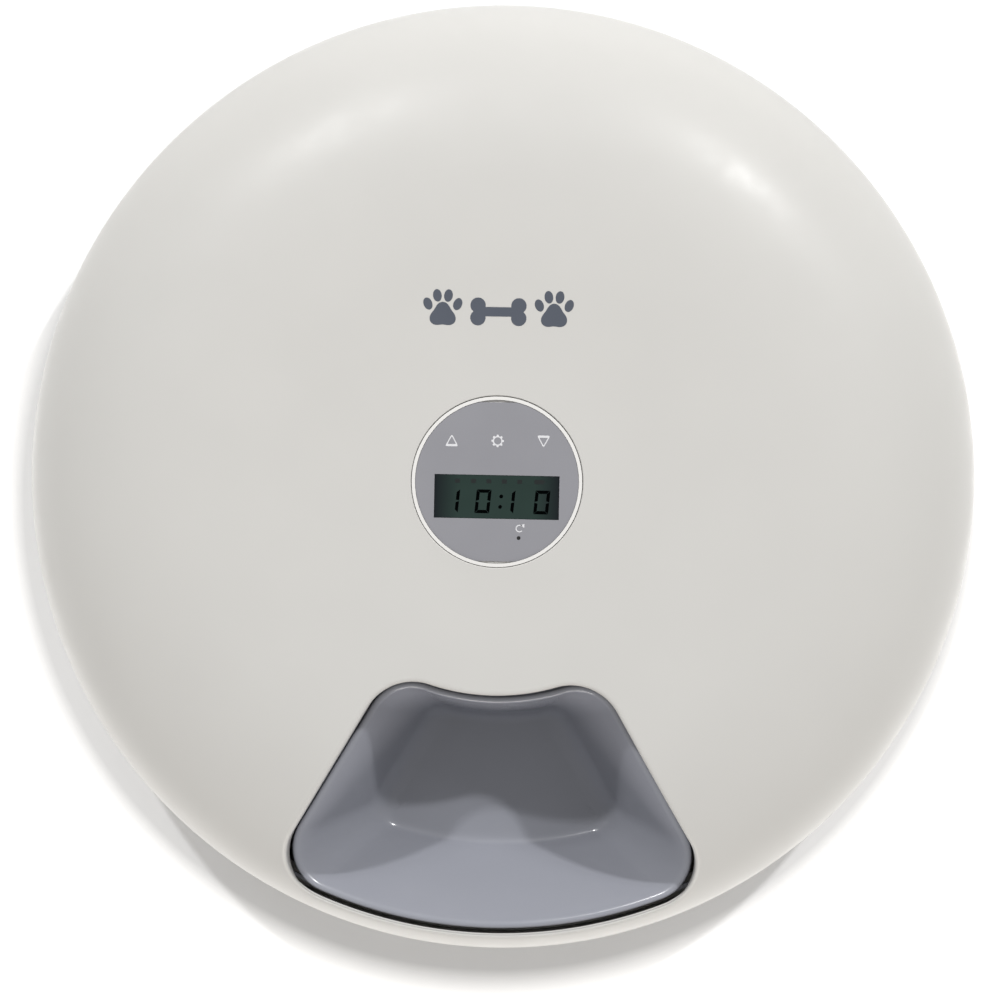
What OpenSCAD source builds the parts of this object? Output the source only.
// Automatic six-meal pet feeder: a round base with a turning food tray under a domed lid,
// and a fixed control head in the middle. Millimetres, +Z up, origin on the floor below the
// hub axis. The meal opening faces -Y.

/* [Body] */
// Diameter at the seam between lid and base
body_d = 320; // [316:1:330]
// Overall height, feet to crown of the lid
body_h = 72; // [72:0.5:74]
// Height of the seam between lid and base
seam_z = 33; // [32.5:0.5:33]
// How far the middle of the lid dips below its crown
dish = 4.4; // [3:0.1:4.8]
// Wall thickness of the moulded shells
wall = 2.4; // [2:0.1:2.6]

/* [Tray] */
// Number of food compartments
meals = 6; // [6:1:6]
// Height of the tray's rim above the floor
rim_z = 50; // [49:0.5:50]
// Depth of a compartment
cup_depth = 32; // [30:1:32]
// Wall thickness of the tray
tray_wall = 2; // [1.6:0.1:2.2]

/* [Meal opening] */
// Inner radius of the opening in the lid
open_r_in = 69.4; // [68.5:0.1:71]
// Corner radius of the opening
open_corner = 17; // [12:1:18]
// Gap from the opening's side to the sector's edge
open_side = 1.9; // [1:0.1:3]

/* [Control head] */
// Radius of the control head where it comes through the lid
head_r = 27.7; // [27.5:0.1:28]
// Width of the display window
lcd_w = 40.4; // [36:0.2:41]
// Height of the display window
lcd_h = 14; // [12:0.2:14.4]
// Travel of a key
key_travel = 0.3; // [0.2:0.05:0.3]

/* [Drive] */
// Module of the gear teeth
gear_module = 1; // [1:1:1]
// Teeth on the turntable's ring gear
ring_teeth = 84; // [84:1:84]
// Teeth on the motor's pinion
pinion_teeth = 16; // [16:1:16]
// Thinning of each tooth, for backlash
backlash = 0.3; // [0.2:0.05:0.4]

/* [Hidden] */
$fn = 96;
eps = 0.01;
body_r = body_d / 2;
sector = 360 / meals;

// Lid
crown_r = body_r - 62;
hub_hole_r = head_r + 0.35;
open_r_out = body_r - 7.8;
skirt_z = rim_z + 1.2;
skirt_wall = 1.8;
rib_r = body_r - 7;

// Base
foot_h = 3;
floor_z = foot_h + wall;
foot_r = 8;
foot_ring_r = 108;
base_flat_r = body_r - 36;
base_rim_r = body_r - 0.4;
seam_gap = 0.6;
tongue_r = body_r - wall - 1;
tongue_top = seam_z + 5;
screw_ring_r = 118;
boss_top = 8;
pocket_y = 136;
pocket_half_w = 9;
pocket_top = 11.2;
socket_z = 7.2;

// Battery compartment, open at the underside
cell_r = 7.1;
cell_len = 48.5;
cell_pitch = 15;
cells = 4;
bay_half_w = 31;
bay_y0 = 10;
bay_y1 = 62.8;
bay_top = 20.6;
bay_wall = 1.6;
cell_z = 13.4;
door_half_w = 33;
door_y0 = 6.5;
door_y1 = 67.5;
door_t = 2;
door_gap = 0.4;
hinge_y = 66.5;
hinge_z = 4;

// Deck, the floor that hides the works
deck_t = 2;
well_z = 26;
well_r = 64;
ledge_z = 34;
ledge_r = 73.3;
deck_low_z = 15;
slope_foot_r = 78;
deck_out_r = body_r - 16;
deck_rim_r = tongue_r - 2.4;

// Tray
tray_r = body_r - 9.6;
tray_hole_r = 37.5;
tray_step_r = 68;
tray_deck_z = rim_z - 2.6;
cup_r_in = 74.4;
cup_r_out = body_r - 11.9;
cup_side = 4.2;
cup_corner = 13.4;
cup_floor_z = rim_z - cup_depth;
knee_h = 4;
floor_r_in = 81;
floor_r_out = body_r - 30.5;
floor_side = 20;
floor_corner = 8;
bottom_corner = 4;
bottom_side = 27;
dog_r = 3.6;
glide_r = 72;
dog_ring_r = 53;
dogs = 3;

// Column, turntable and gears
column_r = 31;
column_wall = 2.2;
column_top = 64;
post_ring_r = 25;
foot_ring_in = 21;
foot_flange_top = 31;
bush_r = column_r + 0.08;
disc_z = 35;
disc_t = 2.6;
disc_r = 72.5;
collar_r = 34;
outer_ring_r = 62;
seat_z = rim_z - tray_wall;
magnet_r = 2.5;
magnet_ring_r = 68.5;
gear_z = 27.6;
gear_top = disc_z;
pinion_z = 28;
pinion_top = 34.4;
shaft_r = 2.5;
gear_centres = gear_module * (ring_teeth + pinion_teeth) / 2;

// Gearmotor, under the deck's well
box_half_w = 18;
box_half_d = 15;
box_z = 8;
box_top = well_z - deck_t;
motor_r = 10;
motor_len = 27;
motor_half_h = 7.7;

// Control head
head_top = body_h - dish;
overlay_top = head_top - 0.2;
overlay_t = 0.6;
overlay_r = head_r - 1.2;
overlay_flat = overlay_r - 0.7;
plate_top = overlay_top - overlay_t;
plate_t = 1.6;
plate_bottom = plate_top - plate_t;
lcd_y = -4.9;
key_y = 13.3;
key_x = 14.9;
key_r = 4;
reset_at = [7.4, -18.1];
switch_h = 2.6;
board_top = 60.6;
board_t = 1.6;
stem_bottom = board_top + switch_h + key_travel + 0.1;
glass_w = 44;
glass_h = 17.4;
post_at = [[22, 8], [-22, 8], [-8, -20.5]];

// Main board, under the well
main_z = 9;
main_t = 1.6;
main_half_w = 42;
main_y0 = -30;
main_y1 = 1.5;
lead_r = 0.7;
lead_x = 50.5;

shell_white = [0.86, 0.85, 0.83];
tray_grey = [0.53, 0.54, 0.58];
board_green = [0.12, 0.36, 0.22];
steel = [0.72, 0.73, 0.75];
nylon = [0.93, 0.92, 0.88];
rubber = [0.15, 0.15, 0.16];
black = [0.08, 0.08, 0.09];

// ---- Outlines and helpers ----

function arc(centre, r, from, to, n) =
    [for (i = [0:n]) let (a = from + (to - from) * i / n) centre + r * [cos(a), sin(a)]];

function polar(r, a) = [r * cos(a), r * sin(a)];

// A sector of a ring about +X with rounded corners; side is its gap to the sector's edge.
function rounded_sector(r_in, r_out, side, corner) =
    let (half = sector / 2,
         a_out = half - asin((side + corner) / (r_out - corner)),
         a_in = half - asin((side + corner) / (r_in + corner)),
         c_out = r_out - corner,
         c_in = r_in + corner)
    concat(
        arc([0, 0], r_out, -a_out, a_out, 16),
        arc(polar(c_out, a_out), corner, a_out, half + 90, 8),
        arc(polar(c_in, a_in), corner, half + 90, a_in + 180, 8),
        arc([0, 0], r_in, a_in, -a_in, 8),
        arc(polar(c_in, -a_in), corner, 180 - a_in, 270 - half, 8),
        arc(polar(c_out, -a_out), corner, -half - 90, -a_out, 8)
    );

// Height of the lid's outer face: a dish around the hub, a level crown, then a quarter ellipse.
function lid_z(r) = r < crown_r
    ? body_h - dish * (1 + cos(180 * max(r - head_r, 0) / (crown_r - head_r))) / 2
    : seam_z + (body_h - seam_z) * sqrt(max(1 - pow((r - crown_r) / (body_r - crown_r), 2), 0));

function ellipse_arc(centre, a, b, from, to, n) =
    [for (i = [0:n]) let (t = from + (to - from) * i / n) centre + [a * cos(t), b * sin(t)]];

function lid_curve(r0, off) = concat(
    [for (i = [0:14]) let (r = r0 + (crown_r - r0) * i / 15) [r, lid_z(r) - off]],
    ellipse_arc([crown_r, seam_z], body_r - crown_r - off, body_h - seam_z - off, 90, 0, 24)
);

// The base's side, from the rim down to the flat underside.
function base_curve(off) = ellipse_arc(
    [base_flat_r, seam_z - seam_gap],
    base_rim_r - base_flat_r - off, seam_z - seam_gap - foot_h - off, 0, -90, 20
);

module ring(r_out, r_in, z0, z1) {
    translate([0, 0, z0]) difference() {
        cylinder(r = r_out, h = z1 - z0);
        translate([0, 0, -1]) cylinder(r = r_in, h = z1 - z0 + 2);
    }
}

module rod(r, z0, z1) translate([0, 0, z0]) cylinder(r = r, h = z1 - z0);

module block(x0, x1, y0, y1, z0, z1) translate([x0, y0, z0]) cube([x1 - x0, y1 - y0, z1 - z0]);

module around(n, r, from = 0) {
    for (i = [0:n - 1]) rotate([0, 0, from + i * 360 / n]) translate([r, 0, 0]) children();
}

module screw(r, length, head_r, head_h) {
    cylinder(r = head_r, h = head_h, $fn = 32);
    translate([0, 0, head_h - eps]) cylinder(r = r, h = length + eps, $fn = 24);
}

// ---- Gears ----

function involute(rb, t) = rb * [cos(t) + t * PI / 180 * sin(t), sin(t) - t * PI / 180 * cos(t)];

// One tooth about +X: both flanks, from root to tip.
function tooth(teeth) =
    let (rp = gear_module * teeth / 2,
         rb = rp * cos(20),
         tip = rp + gear_module,
         root = rp - 1.25 * gear_module,
         t_pitch = sqrt(pow(rp / rb, 2) - 1) * 180 / PI,
         at_pitch = atan2(involute(rb, t_pitch)[1], involute(rb, t_pitch)[0]),
         half = 90 / teeth - backlash / 2 / rp * 90 / PI,
         t_tip = sqrt(pow(tip / rb, 2) - 1) * 180 / PI,
         low = max(rb, root),
         flank = [for (i = [0:4])
             let (r = low + (tip - low) * i / 4,
                  t = sqrt(max(pow(r / rb, 2) - 1, 0)) * 180 / PI,
                  p = involute(rb, t))
             [r, half + at_pitch - atan2(p[1], p[0])]],
         foot = flank[0][1])
    concat(
        [polar(root, -foot - 0.2 * 90 / teeth)],
        [for (f = flank) polar(f[0], -f[1])],
        [for (i = [4:-1:0]) polar(flank[i][0], flank[i][1])],
        [polar(root, foot + 0.2 * 90 / teeth)]
    );

function turned(p, a) = [p[0] * cos(a) - p[1] * sin(a), p[0] * sin(a) + p[1] * cos(a)];

function gear_outline(teeth, phase) =
    [for (i = [0:teeth - 1]) for (p = tooth(teeth)) turned(p, phase + i * 360 / teeth)];

module toothed_ring(teeth, phase, bore, bore_sides, z0, z1) {
    outer = gear_outline(teeth, phase);
    inner = [for (i = [0:bore_sides - 1]) polar(bore, (i + 0.5) * 360 / bore_sides)];
    n = len(outer);
    translate([0, 0, z0]) linear_extrude(z1 - z0)
        polygon(concat(outer, inner),
                paths = [[for (i = [0:n - 1]) i], [for (i = [0:bore_sides - 1]) n + i]]);
}

// ---- Base ----

module screw_places() around(6, screw_ring_r) children();

module base_solid() {
    rotate_extrude() polygon(concat(
        [[0, seam_z - seam_gap]], base_curve(0), [[0, foot_h]]
    ));
}

module base_shell() color(shell_white) {
    difference() {
        union() {
            rotate_extrude() polygon(concat(
                [[0, foot_h]],
                [for (i = [20:-1:0]) base_curve(0)[i]],
                [[tongue_r, seam_z - seam_gap], [tongue_r, tongue_top],
                 [tongue_r - 2.2, tongue_top], [tongue_r - 2.2, seam_z - seam_gap]],
                base_curve(wall),
                [[0, floor_z]]
            ));
            screw_places() rod(5, floor_z - eps, boss_top);
            intersection() {
                block(-pocket_half_w - 1.8, pocket_half_w + 1.8, pocket_y - 1.8, body_r,
                      foot_h + 0.5, pocket_top + 1.5);
                base_solid();
            }
            for (x = [-1, 1]) for (y = [main_y0 + 4, main_y1 - 4])
                translate([x * (main_half_w - 4), y, 0]) rod(3, floor_z - eps, main_z);
            for (x = [-6, 6]) translate([x, pocket_y - 18, 0]) rod(2, floor_z - eps, socket_z);
        }
        block(-pocket_half_w, pocket_half_w, pocket_y, body_r, -1, pocket_top);
        block(-4.6, 4.6, pocket_y - 3, pocket_y + 1, socket_z - 0.1, socket_z + 3.7);
        block(-door_half_w - door_gap, door_half_w + door_gap, door_y0 - door_gap,
              door_y1 + door_gap + 0.3, foot_h - 1, floor_z + 1);
        screw_places() {
            rod(3.2, foot_h - 1, foot_h + 3);
            rod(1.7, foot_h - 1, boss_top + 1);
        }
        around(6, foot_ring_r, 30) rod(foot_r + 0.15, foot_h - 1, foot_h + 1.2);
        for (x = [-1, 1]) for (y = [main_y0 + 4, main_y1 - 4])
            translate([x * (main_half_w - 4), y, 0]) rod(1.2, floor_z, main_z + 1);
    }
}

module deck() color(shell_white) {
    difference() {
        union() {
            rotate_extrude() polygon([
                [16, well_z], [well_r, well_z], [well_r, ledge_z], [ledge_r, ledge_z],
                [slope_foot_r, deck_low_z], [deck_out_r, deck_low_z],
                [deck_out_r + 5, seam_z], [deck_out_r + 5, seam_z + deck_t],
                [deck_rim_r, seam_z + deck_t], [deck_rim_r, seam_z],
                [deck_out_r + 5 + deck_t, seam_z], [deck_out_r + deck_t, deck_low_z - deck_t],
                [slope_foot_r - deck_t, deck_low_z - deck_t],
                [ledge_r - deck_t, ledge_z - deck_t],
                [well_r + deck_t, ledge_z - deck_t], [well_r + deck_t, well_z - deck_t],
                [16, well_z - deck_t]
            ]);
            screw_places() rod(3.8, boss_top, deck_low_z - eps);
            for (y = [-4, 4]) translate([-magnet_ring_r, y, 0]) rod(1.4, 31, ledge_z - deck_t + eps);
        }
        screw_places() rod(1.5, boss_top - 1, deck_low_z - 1);
        translate([0, -gear_centres, 0]) rod(shaft_r + 1.5, box_top - 1, well_z + 1);
        around(3, post_ring_r, 30) rod(1.6, box_top - 1, well_z + 1);
        gearbox_screw_places() {
            rod(1.6, box_top - 1, well_z + 1);
            rod(2.9, well_z - 1.4, well_z + 1);
        }
    }
}

module rubber_feet() color(rubber) {
    around(6, foot_ring_r, 30) {
        rod(foot_r, 0.8, foot_h + 1.2);
        cylinder(r1 = foot_r - 0.8, r2 = foot_r, h = 0.8 + eps);
    }
}

module base_screws() color(steel) {
    screw_places() difference() {
        translate([0, 0, foot_h + 1]) screw(1.45, boss_top - foot_h + 2.5, 2.8, 2);
        cross_recess(foot_h + 1);
    }
}

module cross_recess(z) {
    for (a = [0, 90]) rotate([0, 0, a]) block(-1.7, 1.7, -0.3, 0.3, z - 1, z + 0.9);
}

// ---- Power ----

module battery_box() color(shell_white) {
    difference() {
        union() {
            block(-bay_half_w - bay_wall, bay_half_w + bay_wall, bay_y0 - bay_wall,
                  bay_y1 + bay_wall, floor_z, bay_top + bay_wall);
            block(-door_half_w - 2, door_half_w + 2, door_y0 - 2.5, door_y1 + 3,
                  floor_z, floor_z + 1.2);
        }
        block(-bay_half_w, bay_half_w, bay_y0, bay_y1, floor_z - 1, bay_top);
    }
}

module battery_door() color(shell_white) {
    difference() {
        union() {
            block(-door_half_w, door_half_w, door_y0, hinge_y, foot_h, foot_h + door_t);
            translate([0, hinge_y, hinge_z]) rotate([0, 90, 0])
                cylinder(r = 1, h = 2 * door_half_w + 0.6, center = true, $fn = 32);
        }
        for (i = [0:3]) block(-9, 9, door_y0 + 4 + i * 3, door_y0 + 5.2 + i * 3,
                              foot_h - 1, foot_h + 0.5);
    }
}

module cell_places() {
    for (i = [0:cells - 1])
        translate([(i - (cells - 1) / 2) * cell_pitch, (bay_y0 + bay_y1) / 2, cell_z])
            rotate([i % 2 == 0 ? -90 : 90, 0, 0]) children();
}

module battery_cells() color([0.25, 0.27, 0.3]) {
    cell_places() {
        translate([0, 0, -cell_len / 2]) cylinder(r = cell_r, h = cell_len);
        translate([0, 0, cell_len / 2 - eps]) cylinder(r = 2.7, h = 1.2);
    }
}

module battery_contacts() color(steel) {
    cell_places() {
        translate([-5, -5, cell_len / 2 + 1.25]) cube([10, 10, 0.3]);
        translate([-5, -5, -cell_len / 2 - 2]) cube([10, 10, 0.3]);
        translate([0, 0, -cell_len / 2 - 1.7 - eps]) difference() {
            cylinder(r1 = 4.2, r2 = 2.6, h = 1.6);
            translate([0, 0, 0.4]) cylinder(r1 = 3.6, r2 = 1.9, h = 1.6);
        }
    }
}

module power_socket() color(steel) {
    difference() {
        block(-4.5, 4.5, pocket_y - 8, pocket_y - 0.2, socket_z, socket_z + 3.6);
        block(-4.1, 4.1, pocket_y - 6.5, pocket_y + 1, socket_z + 0.5, socket_z + 3.1);
    }
    block(-3.3, 3.3, pocket_y - 7, pocket_y - 1.2, socket_z + 1.5, socket_z + 2.1);
}

module socket_board() color(board_green) {
    block(-9, 9, pocket_y - 22, pocket_y - 8, socket_z, socket_z + 1.6);
}

// ---- Electronics ----

module main_board() color(board_green) {
    difference() {
        block(-main_half_w, main_half_w, main_y0, main_y1, main_z, main_z + main_t);
        board_screw_places() rod(1.4, main_z - 1, main_z + main_t + 1);
    }
}

module board_screw_places() {
    for (x = [-1, 1]) for (y = [main_y0 + 4, main_y1 - 4])
        translate([x * (main_half_w - 4), y, 0]) children();
}

module board_components() color(black) {
    z = main_z + main_t;
    block(-26, -16, -20, -10, z, z + 1.6);
    block(14, 20, -24, -16, z, z + 1.4);
    block(-8, 8, -14.5, -10.5, z, z + 4);
    translate([-12, -3, 0]) rod(3.2, z, z + 8);
    translate([-22, -3, 0]) rod(2.5, z, z + 7);
    block(24, 36, -12, -7, z, z + 5);
    block(24, 34, -5, 0, z, z + 5);
}

module buzzer() color(black) {
    translate([13, -4, 0]) difference() {
        rod(5, main_z + main_t, main_z + main_t + 6);
        rod(1, main_z + main_t + 3, main_z + main_t + 7);
    }
}

module board_screws() color(steel) {
    board_screw_places() translate([0, 0, main_z + main_t + 1.4]) mirror([0, 0, 1])
        screw(1.1, 3.2, 2.1, 1.4);
}

module sensor_board() color(board_green) {
    block(-70.8, -66.2, -6, 6, 29.4, 31);
    translate([-magnet_ring_r, 0, 0]) block(-2, 2, -1.6, 1.6, 31 - eps, 31.9);
}

module ribbon_cable() color([0.75, 0.76, 0.78]) {
    block(-6, 6, -12.9, -12.2, main_z + main_t + 4, board_top - board_t);
}

// A lead along a chain of points: straight cylinders with round joints.
module lead(points, r) {
    for (i = [0:len(points) - 2]) {
        d = points[i + 1] - points[i];
        translate(points[i]) rotate([0, acos(d[2] / norm(d)), atan2(d[1], d[0])])
            cylinder(r = r, h = norm(d), $fn = 16);
        if (i > 0) translate(points[i]) sphere(r = r * 1.25, $fn = 24);
    }
}

module motor_leads() color([0.7, 0.1, 0.08]) {
    for (y = [-2, 2])
        lead([[box_half_w + motor_len, -gear_centres + y, 16],
              [lead_x - 0.75 * y, -gear_centres + y, 16],
              [lead_x - 0.75 * y, -9.5 - y / 2, 14], [36, -9.5 - y / 2, 14]], lead_r);
}

module battery_leads() color([0.1, 0.1, 0.11]) {
    for (x = [-2, 2])
        translate([29 + x, 0, 14]) rotate([-90, 0, 0])
            cylinder(r = lead_r, h = bay_y0 - bay_wall, $fn = 16);
}

// ---- Gearmotor ----

module gearbox_screw_places() {
    for (x = [-1, 1]) for (y = [-1, 1])
        translate([x * (box_half_w - 4), -gear_centres + y * (box_half_d - 3), 0]) children();
}

module gearbox_case() color(nylon) {
    difference() {
        block(-box_half_w, box_half_w, -gear_centres - box_half_d, -gear_centres + box_half_d,
              box_z, box_top);
        translate([0, -gear_centres, 0]) rod(shaft_r + 0.1, box_top - 10, box_top + 1);
        gearbox_screw_places() rod(1.5, box_top - 8, box_top + 1);
        block(-box_half_w - 1, box_half_w + 1, -gear_centres - box_half_d - 1,
              -gear_centres - box_half_d + 1, 15.4, 16);
        block(-box_half_w - 1, box_half_w + 1, -gear_centres + box_half_d - 1,
              -gear_centres + box_half_d + 1, 15.4, 16);
    }
}

module motor_can() color(steel) {
    translate([box_half_w, -gear_centres, (box_z + box_top) / 2]) rotate([0, 90, 0]) {
        intersection() {
            cylinder(r = motor_r, h = motor_len - 2);
            translate([-motor_half_h, -motor_r, 0]) cube([2 * motor_half_h, 2 * motor_r, motor_len]);
        }
        translate([0, 0, motor_len - 2 - eps]) cylinder(r = 4, h = 2);
    }
}

module gearbox_screws() color(steel) {
    gearbox_screw_places() difference() {
        translate([0, 0, well_z - 0.1]) mirror([0, 0, 1]) screw(1.4, 7, 2.6, 1.2);
        cross_recess(well_z);
    }
}

module output_shaft() color(steel) {
    translate([0, -gear_centres, 0]) difference() {
        rod(shaft_r, box_top - 9, pinion_top + 0.1);
        block(shaft_r - 0.6, shaft_r + 1, -5, 5, pinion_z, pinion_top + 2);
    }
}

module drive_pinion() color(nylon) {
    translate([0, -gear_centres, 0])
        toothed_ring(pinion_teeth, 90, shaft_r + 0.15, 24, pinion_z, pinion_top);
}

// ---- Hub, turntable and tray ----

module hub_column() color(shell_white) {
    difference() {
        union() {
            ring(column_r, column_r - column_wall, well_z, column_top);
            ring(column_r - eps, head_r + 0.1, column_top - 2, column_top);
            ring(column_r - 1, foot_ring_in, well_z, foot_flange_top);
        }
        around(3, post_ring_r, 30) rod(1.3, well_z - 1, foot_flange_top - 1);
    }
}

module column_screws() color(steel) {
    around(3, post_ring_r, 30) translate([0, 0, box_top - 1.8]) screw(1.25, 5.7, 2.5, 1.8);
}

module glide_ring() color(nylon) ring(glide_r, glide_r - 3, ledge_z, disc_z - 0.1);

module turntable() color([0.8, 0.8, 0.79]) {
    difference() {
        union() {
            ring(disc_r, collar_r, disc_z, disc_z + disc_t);
            ring(collar_r + 3, collar_r, disc_z, seat_z);
            ring(outer_ring_r + 2.4, outer_ring_r, disc_z, seat_z);
            around(dogs, dog_ring_r, 90) rod(dog_r, disc_z, rim_z + 3);
            for (a = [0:60:300]) rotate([0, 0, a + 30])
                block(collar_r + 2, outer_ring_r + 1, -1, 1, disc_z + 1, disc_z + 8);
        }
        around(meals, magnet_ring_r) rod(magnet_r + 0.1, disc_z - 1, disc_z + 1.8);
    }
}

module turntable_bush() color(nylon) ring(collar_r - 0.05, bush_r, 29, seat_z - 0.5);

module ring_gear() color(nylon)
    toothed_ring(ring_teeth, -90 + 180 / ring_teeth, 38, 72, gear_z, gear_top);

module index_magnets() color(steel)
    around(meals, magnet_ring_r) rod(magnet_r, disc_z, disc_z + 1.7);

// One compartment as a closed form; grow thickens it to the tray's outside.
module cup_form(grow, top) {
    knee_z = cup_floor_z + knee_h;
    slope = (floor_r_in - cup_r_in) / (rim_z - knee_z);
    difference() {
        hull() {
            translate([0, 0, top]) linear_extrude(eps)
                polygon(rounded_sector(cup_r_in - grow, cup_r_out + grow, cup_side - grow,
                                       cup_corner + grow));
            translate([0, 0, rim_z - 2]) linear_extrude(eps)
                polygon(rounded_sector(cup_r_in - grow, cup_r_out + grow, cup_side - grow,
                                       cup_corner + grow));
            translate([0, 0, knee_z]) linear_extrude(eps)
                polygon(rounded_sector(floor_r_in - grow, floor_r_out + grow,
                                       floor_side - grow, floor_corner + grow));
            translate([0, 0, cup_floor_z - grow]) linear_extrude(eps)
                polygon(rounded_sector(floor_r_in + knee_h - grow, floor_r_out - 3 + grow,
                                       bottom_side - grow, bottom_corner + grow));
        }
        // The wall towards the hub is a cone, so it bulges into the compartment.
        translate([0, 0, cup_floor_z - 5])
            cylinder(r1 = floor_r_in + slope * (knee_h + 5) - grow * 1.4,
                     r2 = cup_r_in - slope * 5 - grow * 1.4,
                     h = cup_depth + 10, $fn = 144);
    }
}

module feed_tray() color(tray_grey) {
    difference() {
        union() {
            rotate_extrude($fn = 120) polygon([
                [tray_hole_r, seat_z], [tray_step_r - 2, seat_z],
                [tray_step_r - 2, tray_deck_z - tray_wall], [tray_r - 2, tray_deck_z - tray_wall],
                [tray_r - 2, rim_z - 6], [tray_r, rim_z - 6], [tray_r, tray_deck_z],
                [tray_step_r, tray_deck_z], [tray_step_r, rim_z], [tray_hole_r, rim_z]
            ]);
            for (i = [0:meals - 1]) rotate([0, 0, i * sector - 90]) cup_form(tray_wall, rim_z - eps);
        }
        for (i = [0:meals - 1]) rotate([0, 0, i * sector - 90]) cup_form(0, rim_z + 1);
        around(dogs, dog_ring_r, 90) rod(dog_r + 0.5, seat_z - 1, rim_z + 1, $fn = 32);
    }
}

// ---- Lid ----

module opening_prism(grow, z0, z1) {
    rotate([0, 0, -90]) translate([0, 0, z0]) linear_extrude(z1 - z0)
        polygon(rounded_sector(open_r_in - grow, open_r_out + grow, open_side - grow,
                               open_corner + grow));
}

module dome_solid() {
    rotate_extrude() polygon(concat(
        [[hub_hole_r, seam_z]], lid_curve(hub_hole_r, 0.2)
    ));
}

module lid_shell() color(shell_white) {
    difference() {
        union() {
            rotate_extrude() polygon(concat(
                lid_curve(hub_hole_r, 0),
                [for (i = [39:-1:0]) lid_curve(hub_hole_r, wall)[i]]
            ));
            intersection() {
                dome_solid();
                union() {
                    opening_prism(skirt_wall, skirt_z, body_h + 1);
                    for (a = [30:60:330]) rotate([0, 0, a])
                        block(rib_r, body_r, -1.5, 1.5, tongue_top, tongue_top + 8);
                }
            }
        }
        opening_prism(0, skirt_z - 1, body_h + 2);
    }
}

// ---- Control head ----

module head_bezel() color(shell_white) {
    ring(head_r, overlay_r + 0.1, column_top - 3, head_top);
    ring(column_r - column_wall - 0.1, overlay_r + 0.1, column_top - 4, column_top - 2);
    ring(overlay_r + 0.2, overlay_r - 0.5, plate_bottom - 1, plate_bottom);
}

module panel_plate() color(shell_white) {
    difference() {
        union() {
            rod(overlay_r, plate_bottom, plate_top);
            for (p = post_at) translate(p) rod(2, board_top, plate_bottom + eps);
        }
        block(-lcd_w / 2 - 0.8, lcd_w / 2 + 0.8, lcd_y - lcd_h / 2 - 0.8, lcd_y + lcd_h / 2 + 0.8,
              plate_bottom - 1, plate_top + 1);
        for (x = [-1, 0, 1]) translate([x * key_x, key_y]) rod(key_r + 0.3, plate_bottom - 1, plate_top + 1);
        translate(reset_at) rod(1.3, plate_bottom - 1, plate_top + 1);
        for (p = post_at) translate(p) rod(1, board_top - 1, plate_bottom);
    }
}

module panel_overlay() color([0.6, 0.6, 0.63]) {
    difference() {
        intersection() {
            rod(overlay_r, plate_top, overlay_top);
            block(-overlay_r, overlay_r, -overlay_flat, overlay_flat, plate_top - 1, overlay_top + 1);
        }
        block(-lcd_w / 2 - 0.1, lcd_w / 2 + 0.1, lcd_y - lcd_h / 2 - 0.1, lcd_y + lcd_h / 2 + 0.1,
              plate_top - 1, overlay_top + 1);
        translate(reset_at) rod(0.6, plate_top - 1, overlay_top + 1, $fn = 24);
    }
}

module lcd_window() color([0.2, 0.25, 0.25]) {
    block(-lcd_w / 2, lcd_w / 2, lcd_y - lcd_h / 2, lcd_y + lcd_h / 2, plate_top - 0.4, overlay_top - 0.1);
}

module lcd_glass() color([0.16, 0.22, 0.2]) {
    block(-glass_w / 2, glass_w / 2, lcd_y - glass_h / 2, lcd_y + glass_h / 2,
          board_top + 2.8, board_top + 4.6);
}

module lcd_frame() color(black) {
    difference() {
        block(-glass_w / 2, glass_w / 2, lcd_y - glass_h / 2, lcd_y + glass_h / 2,
              board_top, board_top + 2.8);
        block(-glass_w / 2 + 1.5, glass_w / 2 - 1.5, lcd_y - glass_h / 2 + 1.5,
              lcd_y + glass_h / 2 - 1.5, board_top - 1, board_top + 4);
    }
}

module display_board() color(board_green) {
    difference() {
        rod(overlay_r - 0.5, board_top - board_t, board_top);
        for (p = post_at) translate(p) rod(1.1, board_top - board_t - 1, board_top + 1);
    }
}

module switch_places() {
    for (x = [-1, 0, 1]) translate([x * key_x, key_y]) children();
    translate(reset_at) children();
}

module tact_switches() color(black) {
    switch_places() difference() {
        block(-2.2, 2.2, -2.2, 2.2, board_top, board_top + switch_h);
        rod(1.4, board_top + switch_h - 0.8, board_top + switch_h + 1, $fn = 24);
    }
}

module display_screws() color(steel) {
    for (p = post_at) translate([p[0], p[1], board_top - board_t - 1.3]) screw(0.95, 5, 1.7, 1.3);
}

module key(at) color(nylon) translate(at) {
    rod(key_r, plate_bottom - 0.2, plate_top - 0.1);
    rod(1.2, stem_bottom, plate_bottom - 0.2 + eps, $fn = 24);
}

module up_key() key([-key_x, key_y]);
module set_key() key([0, key_y]);
module down_key() key([key_x, key_y]);

module reset_key() color(black) translate(reset_at)
    rod(1, stem_bottom, plate_top - 0.6, $fn = 24);

base_shell();
deck();
rubber_feet();
base_screws();
battery_box();
battery_door();
battery_cells();
battery_contacts();
power_socket();
socket_board();
main_board();
board_components();
buzzer();
board_screws();
gearbox_case();
motor_can();
gearbox_screws();
output_shaft();
drive_pinion();
hub_column();
column_screws();
glide_ring();
sensor_board();
turntable();
turntable_bush();
ring_gear();
index_magnets();
feed_tray();
lid_shell();
head_bezel();
panel_plate();
panel_overlay();
lcd_window();
lcd_glass();
lcd_frame();
display_board();
tact_switches();
display_screws();
up_key();
set_key();
down_key();
reset_key();
ribbon_cable();
motor_leads();
battery_leads();
